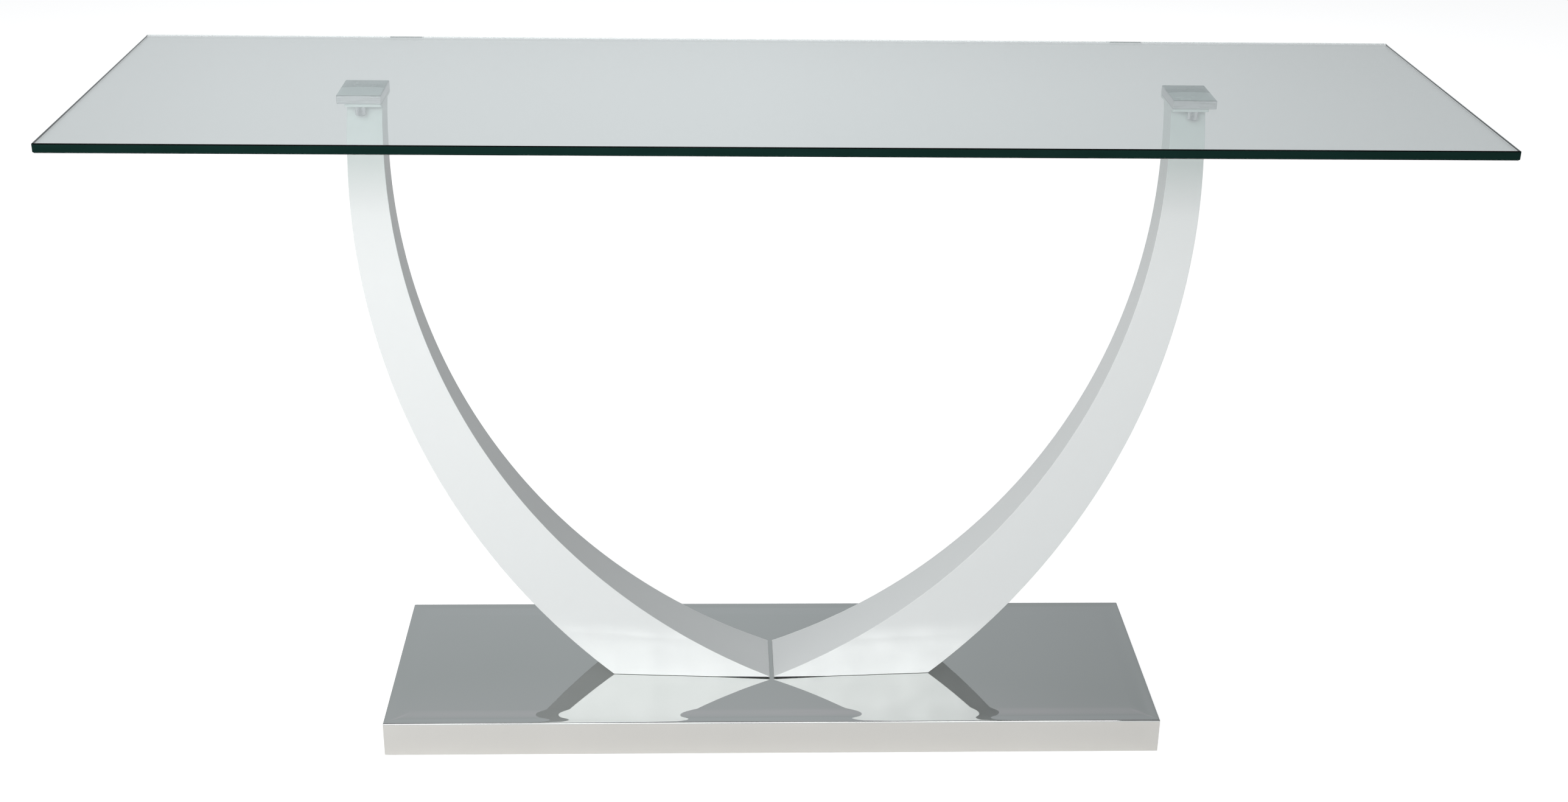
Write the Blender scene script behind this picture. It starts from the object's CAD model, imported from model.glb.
import math
import bmesh
import bpy
from mathutils import Matrix, Vector


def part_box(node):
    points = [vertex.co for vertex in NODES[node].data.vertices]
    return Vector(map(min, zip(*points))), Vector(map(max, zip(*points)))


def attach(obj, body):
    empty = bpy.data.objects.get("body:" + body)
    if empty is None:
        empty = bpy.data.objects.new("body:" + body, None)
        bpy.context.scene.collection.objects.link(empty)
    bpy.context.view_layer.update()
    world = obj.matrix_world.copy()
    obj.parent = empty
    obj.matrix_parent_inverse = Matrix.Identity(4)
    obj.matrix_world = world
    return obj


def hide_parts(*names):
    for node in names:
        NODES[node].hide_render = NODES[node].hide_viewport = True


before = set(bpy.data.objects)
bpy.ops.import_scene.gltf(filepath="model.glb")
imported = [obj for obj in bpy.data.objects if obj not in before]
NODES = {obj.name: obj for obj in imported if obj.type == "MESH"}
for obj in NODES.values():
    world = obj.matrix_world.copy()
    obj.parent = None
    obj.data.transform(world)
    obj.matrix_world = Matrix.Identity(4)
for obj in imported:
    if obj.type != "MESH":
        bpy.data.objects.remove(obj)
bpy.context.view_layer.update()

# Console table, metres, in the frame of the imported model: +X along the table, +Z up.
SIDES = {"left": -1.0, "right": 1.0}

# ---- glass ----
GLASS_CORNER = 0.003
GLASS_ARRIS = 0.001
CORNER_STEPS = 6
EDGE_SKIN = 0.0001
SKIN_GAP = 0.00005
UNDERSIDE_GAP = 0.00005

# ---- leg outline: two arcs in the XZ plane, right-hand side, and a taper in plan ----
OUTER_ARC = (-0.317, 0.645, 0.786)
INNER_ARC = (-0.261, 0.683, 0.689)
LEG_GAP = 0.005
HALF_DEPTH_MIDDLE = 0.0435
HALF_DEPTH_TOP = 0.018
ARC_STEPS = 120
LEG_EDGE_RADIUS = 0.0012

LEG_FOOT_CLEARANCE = 0.0003
LEG_TIP_LIFT = 0.0013
LEG_TIP_LIFT_REACH = 0.07
LEG_TIP_FLAT = 0.002

# ---- bond film and screws at the top of each leg ----
BOND_INSET = 0.0003
BOND_MARGIN_SHARE = 0.2
BOND_ARCH_RISE = 0.0035
BOND_ARCH_STEPS = 24
SCREW_STEPS = 96
SCREW_HEAD_RADIUS = 0.0055
SCREW_HEAD_HEIGHT = 0.010
SCREW_CHAMFER = 0.0006
SCREW_KNURL = 0.0003
SCREW_SHANK_RADIUS = 0.003
SCREW_SOCKET = 0.005
SCREW_SOCKET_DEPTH = 0.004

# ---- base cover: a folded sheet whose top dips a little just inside the fold ----
COVER_SHEET = 0.0012
COVER_CORNER = 0.0006
FOLD_RADIUS = 0.0013
FOLD_STEPS = 6
DIP_START = 0.030
DIP_BOTTOM = 0.0125
DIP_DEPTH_FRONT = 0.00027
DIP_DEPTH_SIDES = 0.00014
DIP_STEP = 0.0015
CORNER_EASE = 0.35
COVER_SIDE_STEP = 0.012
FRONT_EDGE_REACH = 0.0005
TOP_LOOK_FROM = 0.0030
TOP_LOOK_FULL = 0.0012
TOP_ROUGHNESS = 0.025
SIDE_ROUGHNESS = 0.13
SWELL_WAVES = ((0.22, 21.0, 0.6), (0.14, 47.0, 0.0))

# ---- studio ----
FLOOR_REACH = 40.0
FLOOR_CELLS = 8
# The floor glows at the first strength for the camera, at the second in mirrors and glass.
FLOOR_GLOW = 0.75
FLOOR_GLOW_INDIRECT = 0.275
FLOOR_GREY = 0.81
FLOOR_DIM_GREY = 0.38
# The camera sees this grey behind the table; light and reflections use the two ramps.
BACKDROP = 0.96
WORLD_ACROSS = (
    (-1.00, (0.50, 0.50, 0.50)),
    (-0.50, (0.60, 0.60, 0.60)),
    (-0.22, (0.98, 0.98, 0.98)),
    (0.02, (1.00, 1.00, 1.00)),
    (0.28, (0.72, 0.72, 0.72)),
    (0.60, (0.42, 0.42, 0.42)),
    (1.00, (0.34, 0.34, 0.34)),
)
WORLD_HEIGHTS = (
    (0.00, (0.80, 0.80, 0.80)),
    (0.29, (0.67, 0.71, 0.73)),
    (0.36, (0.48, 0.505, 0.52)),
    (0.42, (0.43, 0.45, 0.465)),
    (0.48, (0.44, 0.465, 0.48)),
    (0.515, (0.415, 0.44, 0.45)),
    (0.58, (0.48, 0.485, 0.505)),
    (0.68, (0.27, 0.29, 0.29)),
    (0.82, (0.17, 0.17, 0.18)),
    (1.00, (0.17, 0.17, 0.18)),
)
# Each softbox: name, place, size, power in watts.
SOFTBOXES = (
    ("key", (-1.25, -2.3, 1.7), (1.6, 1.6), 30.0),
    ("side", (-2.6, -0.6, 0.7), (1.6, 1.2), 8.0),
    ("front", (-0.25, -2.9, 2.0), (2.7, 0.7), 43.0),
    ("back", (0.0, 3.4, 1.7), (3.0, 1.0), 15.0),
)
SEEN_IN_GLOSS = ("front",)
SOFTBOX_AIM = (0.0, 0.0, 0.3)

# ---- camera: angles in radians, lens and sensor in millimetres ----
CAMERA_PLACE = (-0.0758, -2.1717, 1.3368)
CAMERA_YAW = -0.0399
CAMERA_PITCH = 0.411
CAMERA_ROLL = 0.0167
CAMERA_LENS = 47.03
CAMERA_SENSOR = 36.0
CAMERA_REACH = 100.0


# ------------------------------------------------------------------ node helpers
class Tree:
    """A new material with a Principled shader and short calls for its nodes."""

    def __init__(self, name):
        self.material = bpy.data.materials.new(name)
        self.material.use_nodes = True
        self.nodes = self.material.node_tree.nodes
        self.links = self.material.node_tree.links
        self.shader = self.nodes["Principled BSDF"]
        self.output = self.nodes["Material Output"]
        self.place = self.nodes.new("ShaderNodeTexCoord").outputs["Object"]

    def set(self, **values):
        for name, value in values.items():
            self.shader.inputs[name.replace("_", " ")].default_value = value

    def link(self, source, target):
        self.links.new(source, target)

    def scaled_place(self, scale):
        mapping = self.nodes.new("ShaderNodeMapping")
        mapping.inputs["Scale"].default_value = scale
        self.link(self.place, mapping.inputs["Vector"])
        return mapping.outputs["Vector"]

    def noise(self, size, stretch=(1.0, 1.0, 1.0), detail=2.0, roughness=0.5):
        """Noise whose blobs are about size metres wide."""
        node = self.nodes.new("ShaderNodeTexNoise")
        node.inputs["Scale"].default_value = 1.0 / size
        node.inputs["Detail"].default_value = detail
        node.inputs["Roughness"].default_value = roughness
        self.link(self.scaled_place(stretch), node.inputs["Vector"])
        return node.outputs["Fac"]

    def remap(self, source, low, high, from_low=0.3, from_high=0.7):
        node = self.nodes.new("ShaderNodeMapRange")
        node.inputs["From Min"].default_value = from_low
        node.inputs["From Max"].default_value = from_high
        node.inputs["To Min"].default_value = low
        node.inputs["To Max"].default_value = high
        self.link(source, node.inputs["Value"])
        return node.outputs["Result"]

    def blend(self, source, first, second):
        node = self.nodes.new("ShaderNodeMix")
        node.data_type = "RGBA"
        node.inputs["A"].default_value = (*first, 1.0)
        node.inputs["B"].default_value = (*second, 1.0)
        self.link(source, node.inputs["Factor"])
        return node.outputs["Result"]

    def bump(self, source, height):
        node = self.nodes.new("ShaderNodeBump")
        node.inputs["Distance"].default_value = height
        self.link(source, node.inputs["Height"])
        return node.outputs["Normal"]

    def colour(self, source, first, second):
        self.link(self.blend(source, first, second), self.shader.inputs["Base Color"])

    def roughness(self, source, low, high):
        self.link(self.remap(source, low, high), self.shader.inputs["Roughness"])

    def normal(self, source):
        self.link(source, self.shader.inputs["Normal"])


def let_light_through(tree, tint):
    """Lamps and soft light pass straight through the glass, so it casts no hard shadow."""
    path = tree.nodes.new("ShaderNodeLightPath")
    clear = tree.nodes.new("ShaderNodeBsdfTransparent")
    clear.inputs["Color"].default_value = (*tint, 1.0)
    surface = tree.shader.outputs["BSDF"]
    for ray in ("Is Shadow Ray", "Is Diffuse Ray"):
        mix = tree.nodes.new("ShaderNodeMixShader")
        tree.link(path.outputs[ray], mix.inputs[0])
        tree.link(surface, mix.inputs[1])
        tree.link(clear.outputs[0], mix.inputs[2])
        surface = mix.outputs[0]
    tree.link(surface, tree.output.inputs["Surface"])


# ------------------------------------------------------------------ materials
def clear_glass():
    tree = Tree("clear_glass")
    tree.set(Transmission_Weight=1.0, Roughness=0.0, IOR=1.52)
    tree.colour(tree.noise(0.35), (0.935, 0.982, 0.978), (0.945, 0.987, 0.983))
    tree.normal(tree.bump(tree.noise(0.12, detail=1.0), 0.00002))
    let_light_through(tree, (0.75, 0.80, 0.785))
    return tree.material


def green_edge():
    tree = Tree("green_glass_edge")
    tree.set(IOR=1.52, Specular_IOR_Level=0.04, Specular_Tint=(0.25, 0.9, 0.8, 1.0))
    streaks = tree.noise(0.06, stretch=(1.0, 1.0, 8.0), detail=3.0)
    tree.colour(streaks, (0.0050, 0.017, 0.013), (0.0080, 0.027, 0.023))
    tree.roughness(tree.noise(0.01), 0.08, 0.16)
    return tree.material


def white_lacquer():
    tree = Tree("white_lacquer")
    tree.set(IOR=1.5)
    tree.colour(tree.noise(0.25), (0.86, 0.885, 0.88), (0.875, 0.895, 0.89))
    tree.roughness(tree.noise(0.03), 0.16, 0.24)
    tree.normal(tree.bump(tree.noise(0.004, detail=1.0), 0.000008))
    return tree.material


def mirror_steel():
    """Mirror-polished sheet; the folded sides are a little duller and warmer than the top."""
    tree = Tree("mirror_steel")
    tree.set(Metallic=1.0)
    split = tree.nodes.new("ShaderNodeSeparateXYZ")
    tree.link(tree.place, split.inputs[0])
    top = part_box("base_cover")[1][2]
    is_top = tree.remap(split.outputs["Z"], 0.0, 1.0, top - TOP_LOOK_FROM, top - TOP_LOOK_FULL)
    sides = tree.blend(tree.noise(0.12), (0.75, 0.735, 0.70), (0.79, 0.775, 0.74))
    clouds = tree.blend(tree.noise(0.2), (0.715, 0.732, 0.718), (0.75, 0.762, 0.75))
    tone = tree.nodes.new("ShaderNodeMix")
    tone.data_type = "RGBA"
    tree.link(is_top, tone.inputs["Factor"])
    tree.link(sides, tone.inputs["A"])
    tree.link(clouds, tone.inputs["B"])
    tree.link(tone.outputs["Result"], tree.shader.inputs["Base Color"])
    shine = tree.remap(is_top, SIDE_ROUGHNESS, TOP_ROUGHNESS, 0.0, 1.0)
    tree.link(shine, tree.shader.inputs["Roughness"])
    waves = tree.noise(0.09, stretch=(0.35, 1.0, 1.0), detail=1.0)
    tree.normal(tree.bump(waves, 0.00006))
    return tree.material


def brushed_metal():
    tree = Tree("brushed_metal")
    tree.set(Metallic=1.0)
    lines = tree.noise(0.0006, stretch=(0.03, 1.0, 1.0), detail=3.0)
    tree.colour(lines, (0.36, 0.37, 0.38), (0.68, 0.69, 0.70))
    tree.roughness(lines, 0.22, 0.46)
    tree.normal(tree.bump(lines, 0.00005))
    return tree.material


def bright_screw():
    tree = Tree("bright_screw_steel")
    tree.set(Metallic=1.0)
    grain = tree.noise(0.0008, detail=3.0)
    tree.colour(grain, (0.40, 0.41, 0.42), (0.60, 0.61, 0.62))
    tree.roughness(grain, 0.18, 0.32)
    tree.normal(tree.bump(grain, 0.00002))
    return tree.material


def black_steel():
    tree = Tree("black_primed_steel")
    tree.set(Metallic=0.2)
    grain = tree.noise(0.003, detail=4.0)
    tree.colour(grain, (0.010, 0.010, 0.011), (0.020, 0.020, 0.022))
    tree.roughness(grain, 0.45, 0.65)
    tree.normal(tree.bump(grain, 0.00005))
    return tree.material


def fibre_board():
    tree = Tree("fibre_board")
    grain = tree.noise(0.002, detail=6.0, roughness=0.7)
    tree.colour(grain, (0.30, 0.20, 0.12), (0.42, 0.30, 0.19))
    tree.roughness(grain, 0.7, 0.9)
    tree.normal(tree.bump(grain, 0.0001))
    return tree.material


def black_rubber():
    tree = Tree("black_rubber")
    grain = tree.noise(0.001, detail=4.0)
    tree.colour(grain, (0.006, 0.006, 0.006), (0.014, 0.014, 0.014))
    tree.roughness(grain, 0.55, 0.75)
    tree.normal(tree.bump(grain, 0.00004))
    return tree.material


def bond_film(name, low, high):
    """Cured adhesive over satin metal, as it looks through the glass."""
    tree = Tree(name)
    tree.set(IOR=1.5)
    tree.colour(tree.noise(0.05, detail=1.0), low, high)
    tree.roughness(tree.noise(0.03), 0.20, 0.30)
    return tree.material


def pale_floor():
    """Floor that is white to the camera, greyer in glass and mirrors, dim for soft light."""
    tree = Tree("pale_floor")
    tree.set(Specular_IOR_Level=0.0, Emission_Strength=FLOOR_GLOW, Emission_Color=(1.0, 1.0, 1.0, 1.0))
    tree.colour(tree.noise(1.5), (0.80, 0.80, 0.80), (0.82, 0.82, 0.82))
    tree.roughness(tree.noise(0.4), 0.85, 0.95)
    grey = tree.nodes.new("ShaderNodeBsdfPrincipled")
    grey.inputs["Base Color"].default_value = (FLOOR_GREY, FLOOR_GREY, FLOOR_GREY, 1.0)
    grey.inputs["Specular IOR Level"].default_value = 0.0
    grey.inputs["Emission Color"].default_value = (1.0, 1.0, 1.0, 1.0)
    grey.inputs["Emission Strength"].default_value = FLOOR_GLOW_INDIRECT
    dim = tree.nodes.new("ShaderNodeBsdfDiffuse")
    dim.inputs["Color"].default_value = (FLOOR_DIM_GREY, FLOOR_DIM_GREY, FLOOR_DIM_GREY, 1.0)
    path = tree.nodes.new("ShaderNodeLightPath")
    surface = grey.outputs["BSDF"]
    for ray, look in (("Is Camera Ray", tree.shader), ("Is Diffuse Ray", dim)):
        mix = tree.nodes.new("ShaderNodeMixShader")
        tree.link(path.outputs[ray], mix.inputs[0])
        tree.link(surface, mix.inputs[1])
        tree.link(look.outputs["BSDF"], mix.inputs[2])
        surface = mix.outputs[0]
    tree.link(surface, tree.output.inputs["Surface"])
    return tree.material


# ------------------------------------------------------------------ mesh helpers
def add_piece(name, vertices, faces, material, smooth_angle=None):
    mesh = bpy.data.meshes.new(name)
    mesh.from_pydata(vertices, [], faces)
    mesh.validate()
    tidy = bmesh.new()
    tidy.from_mesh(mesh)
    bmesh.ops.recalc_face_normals(tidy, faces=tidy.faces)
    tidy.to_mesh(mesh)
    tidy.free()
    if smooth_angle is not None:
        mesh.shade_smooth()
        mesh.set_sharp_from_angle(angle=math.radians(smooth_angle))
    mesh.materials.append(material)
    piece = bpy.data.objects.new(name, mesh)
    bpy.context.scene.collection.objects.link(piece)
    return piece


def bevel(piece, width, steps=3, angle=40):
    modifier = piece.modifiers.new("edges", "BEVEL")
    modifier.width = width
    modifier.segments = steps
    modifier.limit_method = "ANGLE"
    modifier.angle_limit = math.radians(angle)
    modifier.harden_normals = True


def rounded_outline(low, high, inset, radius, steps):
    """Points round a rectangle with rounded corners, anticlockwise from above."""
    radius = max(radius - inset, 0.00001)
    left, front = low[0] + inset + radius, low[1] + inset + radius
    right, back = high[0] - inset - radius, high[1] - inset - radius
    corners = [(right, back, 0), (left, back, 90), (left, front, 180), (right, front, 270)]
    outline = []
    for x, y, start in corners:
        for step in range(steps + 1):
            angle = math.radians(start + 90 * step / steps)
            outline.append((x + radius * math.cos(angle), y + radius * math.sin(angle)))
    return outline


def ring_faces(first, second, count):
    """Quads between two rings of vertices that start at the given indices."""
    faces = []
    for i in range(count):
        j = (i + 1) % count
        faces.append((first + i, first + j, second + j, second + i))
    return faces


def stack_of_rings(rings, close_ends=True):
    """Vertices and faces of a solid whose outline at each level is a ring."""
    count = len(rings[0])
    vertices = [point for ring in rings for point in ring]
    faces = []
    for level in range(len(rings) - 1):
        faces += ring_faces(level * count, (level + 1) * count, count)
    if close_ends:
        faces.append(tuple(reversed(range(count))))
        last = (len(rings) - 1) * count
        faces.append(tuple(last + i for i in range(count)))
    else:
        faces += ring_faces((len(rings) - 1) * count, 0, count)
    return vertices, faces


# ------------------------------------------------------------------ pieces
def make_glass(glass, edge):
    low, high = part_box("glass_top")

    def ring(inset, z):
        outline = rounded_outline(low, high, inset, GLASS_CORNER, CORNER_STEPS)
        return [(x, y, z) for x, y in outline]

    skin = EDGE_SKIN + SKIN_GAP
    bottom = low[2] + UNDERSIDE_GAP
    plate_rings = [
        ring(GLASS_ARRIS + skin, bottom),
        ring(skin, low[2] + GLASS_ARRIS),
        ring(skin, high[2] - GLASS_ARRIS),
        ring(GLASS_ARRIS + skin, high[2]),
    ]
    plate = add_piece("glass_plate", *stack_of_rings(plate_rings), glass, smooth_angle=25)
    band_low = low[2] + GLASS_ARRIS
    band_high = high[2] - GLASS_ARRIS
    band_rings = [
        ring(0.0, band_low),
        ring(0.0, band_high),
        ring(EDGE_SKIN, band_high),
        ring(EDGE_SKIN, band_low),
    ]
    band_shape = stack_of_rings(band_rings, close_ends=False)
    band = add_piece("glass_green_edge", *band_shape, edge, smooth_angle=25)
    for piece in (plate, band):
        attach(piece, "root")
        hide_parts("glass_top")


def arc_z(arc, x):
    return arc[1] - math.sqrt(arc[2] ** 2 - (x - arc[0]) ** 2)


def arc_points(arc, start, end):
    """Points along the lower right of an arc, from one height to another."""
    first = math.asin((start - arc[1]) / arc[2])
    last = math.asin((end - arc[1]) / arc[2])
    points = []
    for step in range(ARC_STEPS + 1):
        angle = first + (last - first) * step / ARC_STEPS
        points.append((arc[0] + arc[2] * math.cos(angle), arc[1] + arc[2] * math.sin(angle)))
    return points


def make_leg(side, sign, lacquer):
    nodes = [side + end for end in ("_leg_front_panel", "_leg_back_panel",
                                    "_leg_outer_band", "_leg_inner_band")]
    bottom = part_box("base_cover")[1][2] + LEG_FOOT_CLEARANCE
    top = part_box(nodes[0])[1][2]
    tip = LEG_GAP / 2
    inner = arc_points(INNER_ARC, arc_z(INNER_ARC, tip), top)
    outer = arc_points(OUTER_ARC, bottom, top)
    # The foot's underside rises a little towards the tip of the V.
    raised = bottom + LEG_TIP_LIFT
    inner = [(tip, raised), (tip, (raised + inner[0][1]) / 2)] + inner
    outer = [(tip + LEG_TIP_FLAT, raised), (LEG_TIP_LIFT_REACH, bottom)] + outer
    top_middle = (inner[-1][0] + outer[-1][0]) / 2
    taper = (HALF_DEPTH_TOP - HALF_DEPTH_MIDDLE) / top_middle

    def half_depth(x):
        return HALF_DEPTH_MIDDLE + taper * x

    rings = []
    for (xi, zi), (xo, zo) in zip(inner, outer):
        rings.append([
            (sign * xi, -half_depth(xi), zi),
            (sign * xo, -half_depth(xo), zo),
            (sign * xo, half_depth(xo), zo),
            (sign * xi, half_depth(xi), zi),
        ])
    leg = add_piece(side + "_leg", *stack_of_rings(rings), lacquer, smooth_angle=30)
    bevel(leg, LEG_EDGE_RADIUS)
    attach(leg, "root")
    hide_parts(*nodes)


def make_bond(side, front_film, rear_film):
    """The film under the glass: it is thinner, and looks darker, behind an arched line."""
    low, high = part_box(side + "_block_bond")
    margin = BOND_MARGIN_SHARE * (high[2] - low[2])
    left, right = low[0] + BOND_INSET, high[0] - BOND_INSET
    front, back = low[1] + BOND_INSET, high[1] - BOND_INSET
    arch = []
    for step in range(BOND_ARCH_STEPS + 1):
        part = step / BOND_ARCH_STEPS
        arch.append((left + part * (right - left), BOND_ARCH_RISE * math.sin(math.pi * part)))
    outlines = {
        "_bond_film_front": ([(left, front), (right, front)] + arch[::-1], front_film),
        "_bond_film_rear": (arch + [(right, back), (left, back)], rear_film),
    }
    for ending, (outline, film) in outlines.items():
        rings = [[(x, y, z) for x, y in outline] for z in (low[2] + margin, high[2] - margin)]
        bond = add_piece(side + ending, *stack_of_rings(rings), film)
        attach(bond, "root")
        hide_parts(side + "_block_bond")


def circle(radius, dents=0.0):
    """Radii round a circle, with every second point pulled in for a knurl."""
    return [radius - dents * (step % 2) for step in range(SCREW_STEPS)]


def hexagon(across_flats):
    radii = []
    for step in range(SCREW_STEPS):
        angle = (360.0 * step / SCREW_STEPS) % 60.0 - 30.0
        radii.append(across_flats / 2 / math.cos(math.radians(angle)))
    return radii


def screw_shape(x, y, low, high):
    """Knurled socket-head screw, head down, from low to high."""
    seat = low + SCREW_HEAD_HEIGHT
    head = SCREW_HEAD_RADIUS
    levels = [
        (hexagon(SCREW_SOCKET), low + SCREW_SOCKET_DEPTH),
        (hexagon(SCREW_SOCKET), low),
        (circle(head - SCREW_CHAMFER), low),
        (circle(head, SCREW_KNURL), low + SCREW_CHAMFER),
        (circle(head, SCREW_KNURL), seat - SCREW_CHAMFER),
        (circle(head - SCREW_CHAMFER), seat),
        (circle(SCREW_SHANK_RADIUS), seat),
        (circle(SCREW_SHANK_RADIUS), high),
    ]
    rings = []
    for radii, z in levels:
        ring = []
        for step, radius in enumerate(radii):
            angle = math.radians(360.0 * step / SCREW_STEPS)
            ring.append((x + radius * math.cos(angle), y + radius * math.sin(angle), z))
        rings.append(ring)
    return stack_of_rings(rings)


def make_block_screws(side, steel):
    node = side + "_block_screws"
    low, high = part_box(node)
    middle = (low[0] + high[0]) / 2
    reach = high[1] - SCREW_HEAD_RADIUS
    for place, y in (("front", -reach), ("back", reach)):
        shape = screw_shape(middle, y, low[2], high[2])
        screw = add_piece(side + "_screw_" + place, *shape, steel, smooth_angle=20)
        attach(screw, "root")
        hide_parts(node)


def eased(part):
    """Smooth step from 0 to 1 with a level start and end."""
    part = min(max(part, 0.0), 1.0)
    return 0.5 - 0.5 * math.cos(math.pi * part)


def dip_at(inset, depth):
    """How far the sheet lies below its middle, at a distance in from the cover's edge."""
    if inset > DIP_BOTTOM:
        return depth * eased((DIP_START - inset) / (DIP_START - DIP_BOTTOM))
    return depth * eased((inset - FOLD_RADIUS) / (DIP_BOTTOM - FOLD_RADIUS))


def long_outline(low, high, inset, radius):
    """Rounded rectangle with many points along its straight sides, for the cover's rings."""
    corners = rounded_outline(low, high, inset, radius + inset, CORNER_STEPS)
    count = CORNER_STEPS + 1
    span = (high[1] - low[1], high[0] - low[0])
    outline = []
    for corner in range(4):
        arc = corners[corner * count:(corner + 1) * count]
        start, end = arc[-1], corners[(corner + 1) * count % (4 * count)]
        pieces = round(span[(corner + 1) % 2] / COVER_SIDE_STEP)
        outline += arc
        for step in range(1, pieces):
            part = step / pieces
            outline.append((start[0] + part * (end[0] - start[0]),
                            start[1] + part * (end[1] - start[1])))
    return outline


def swell_at(x):
    """How the depth of the dip varies along the cover; waves are (height, rate, start)."""
    swell = 1.0
    for height, rate, start in SWELL_WAVES:
        swell += height * math.sin(rate * x + start)
    return swell


def cover_ring(low, high, inset, drop):
    """One ring of the cover: drop is its depth below the top, before the dip is added."""
    radius = COVER_CORNER + CORNER_EASE * inset
    ring = []
    for x, y in long_outline(low, high, inset, radius):
        at_front = y - low[1] < high[1] - y and abs(y - low[1] - inset) < FRONT_EDGE_REACH
        depth = DIP_DEPTH_FRONT if at_front else DIP_DEPTH_SIDES
        ring.append((x, y, high[2] - drop - swell_at(x) * dip_at(inset, depth)))
    return ring


def make_cover(steel):
    low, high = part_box("base_cover")
    rings = []
    flat_steps = round((DIP_START - FOLD_RADIUS) / DIP_STEP)
    for step in range(flat_steps):
        inset = DIP_START + (FOLD_RADIUS - DIP_START) * step / flat_steps
        rings.append(cover_ring(low, high, inset, 0.0))
    for step in range(FOLD_STEPS + 1):
        angle = math.radians(90 * step / FOLD_STEPS)
        inset = FOLD_RADIUS * (1 - math.sin(angle))
        rings.append(cover_ring(low, high, inset, FOLD_RADIUS * (1 - math.cos(angle))))
    height = high[2] - low[2]
    rings.append(cover_ring(low, high, 0.0, height))
    rings.append(cover_ring(low, high, COVER_SHEET, height))
    rings.append(cover_ring(low, high, COVER_SHEET, 2 * COVER_SHEET))
    cover = add_piece("base_cover_sheet", *stack_of_rings(rings), steel, smooth_angle=40)
    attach(cover, "root")
    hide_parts("base_cover")


def make_floor(material):
    reach = FLOOR_REACH
    cells = FLOOR_CELLS
    vertices = []
    faces = []
    for row in range(cells + 1):
        for column in range(cells + 1):
            x = -reach + 2 * reach * column / cells
            y = -reach + 2 * reach * row / cells
            vertices.append((x, y, 0.0))
    for row in range(cells):
        for column in range(cells):
            first = row * (cells + 1) + column
            faces.append((first, first + 1, first + cells + 2, first + cells + 1))
    add_piece("studio_floor", vertices, faces, material)


# ------------------------------------------------------------------ light and camera
def make_ramp(nodes, stops):
    """Colour ramp whose stops are (position, colour) pairs."""
    ramp = nodes.new("ShaderNodeValToRGB")
    marks = ramp.color_ramp.elements
    marks[0].position, marks[1].position = stops[0][0], stops[-1][0]
    marks[0].color, marks[1].color = (*stops[0][1], 1.0), (*stops[-1][1], 1.0)
    for position, colour in stops[1:-1]:
        marks.new(position).color = (*colour, 1.0)
    return ramp


def make_world():
    """Soft studio: a pale backdrop, and for light and reflections a room darker overhead."""
    world = bpy.data.worlds.new("studio")
    bpy.context.scene.world = world
    world.use_nodes = True
    nodes = world.node_tree.nodes
    links = world.node_tree.links
    place = nodes.new("ShaderNodeTexCoord")
    split = nodes.new("ShaderNodeSeparateXYZ")
    links.new(place.outputs["Generated"], split.inputs[0])
    height = make_ramp(nodes, WORLD_HEIGHTS)
    links.new(split.outputs["Z"], height.inputs[0])
    across = make_ramp(nodes, [(0.5 + 0.5 * x, grey) for x, grey in WORLD_ACROSS])
    position = nodes.new("ShaderNodeMapRange")
    position.inputs["From Min"].default_value = -1.0
    links.new(split.outputs["X"], position.inputs["Value"])
    links.new(position.outputs["Result"], across.inputs[0])
    product = nodes.new("ShaderNodeMix")
    product.data_type = "RGBA"
    product.blend_type = "MULTIPLY"
    product.inputs["Factor"].default_value = 1.0
    links.new(height.outputs["Color"], product.inputs["A"])
    links.new(across.outputs["Color"], product.inputs["B"])
    backdrop = nodes.new("ShaderNodeMix")
    backdrop.data_type = "RGBA"
    backdrop.inputs["B"].default_value = (BACKDROP, BACKDROP, BACKDROP, 1.0)
    path = nodes.new("ShaderNodeLightPath")
    links.new(path.outputs["Is Camera Ray"], backdrop.inputs["Factor"])
    links.new(product.outputs["Result"], backdrop.inputs["A"])
    links.new(backdrop.outputs["Result"], nodes["Background"].inputs["Color"])


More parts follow.
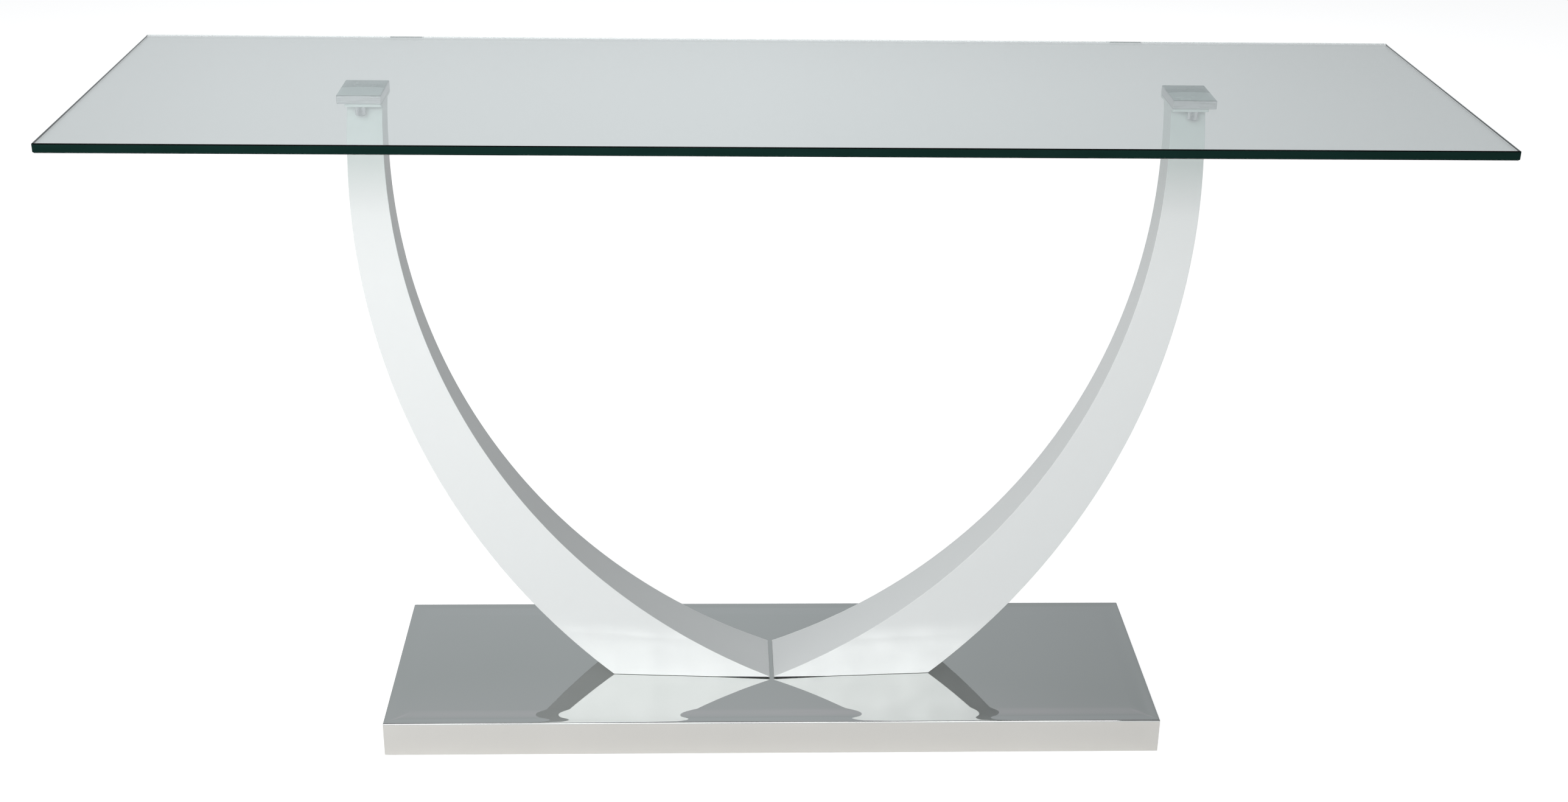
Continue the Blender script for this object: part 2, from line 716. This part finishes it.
def add_softbox(name, place, aim, size, power):
    """Area light hidden from the camera and through glass; gloss shows only SEEN_IN_GLOSS."""
    data = bpy.data.lights.new(name, "AREA")
    data.shape = "RECTANGLE"
    data.size, data.size_y = size
    data.energy = power
    lamp = bpy.data.objects.new(name, data)
    direction = Vector(aim) - Vector(place)
    lamp.rotation_euler = direction.to_track_quat("-Z", "Y").to_euler()
    lamp.location = place
    lamp.visible_camera = False
    lamp.visible_transmission = False
    lamp.visible_glossy = name in SEEN_IN_GLOSS
    bpy.context.scene.collection.objects.link(lamp)


def make_camera():
    data = bpy.data.cameras.new("camera")
    data.lens = CAMERA_LENS
    data.sensor_width = CAMERA_SENSOR
    data.clip_end = CAMERA_REACH
    camera = bpy.data.objects.new("camera", data)
    turn = Matrix.Rotation(CAMERA_YAW, 4, "Z")
    tilt = Matrix.Rotation(math.pi / 2 - CAMERA_PITCH, 4, "X")
    roll = Matrix.Rotation(CAMERA_ROLL, 4, "Z")
    camera.matrix_world = Matrix.Translation(CAMERA_PLACE) @ turn @ tilt @ roll
    bpy.context.scene.collection.objects.link(camera)
    bpy.context.scene.camera = camera


# ------------------------------------------------------------------ build
def dress_cad_nodes(lacquer, screw):
    steel = black_steel()
    rubber = black_rubber()
    brushed = brushed_metal()
    finishes = {
        "base_ballast_plate": steel,
        "base_core": fibre_board(),
        "base_bottom_plate": steel,
        "bottom_plate_screws": screw,
        "base_glides": rubber,
    }
    for side in SIDES:
        finishes[side + "_glass_block"] = brushed
        finishes[side + "_top_plate"] = lacquer
        finishes[side + "_foot_plate"] = steel
        finishes[side + "_foot_gasket"] = rubber
        finishes[side + "_base_bolts"] = screw
        finishes[side + "_base_washers"] = screw
    for name, material in finishes.items():
        for material_slot in NODES[name].material_slots:
            material_slot.material = material


def main():
    lacquer = white_lacquer()
    screw = bright_screw()
    front_film = bond_film("bond_film", (0.86, 0.90, 0.91), (0.90, 0.94, 0.95))
    rear_film = bond_film("bond_film_thin", (0.42, 0.46, 0.47), (0.47, 0.51, 0.52))
    dress_cad_nodes(lacquer, screw)
    make_glass(clear_glass(), green_edge())
    for side, sign in SIDES.items():
        make_leg(side, sign, lacquer)
        make_bond(side, front_film, rear_film)
        make_block_screws(side, screw)
    make_cover(mirror_steel())
    make_floor(pale_floor())
    make_world()
    for name, place, size, power in SOFTBOXES:
        add_softbox(name, place, SOFTBOX_AIM, size, power)
    make_camera()
    bpy.context.scene.view_settings.view_transform = "Standard"


main()
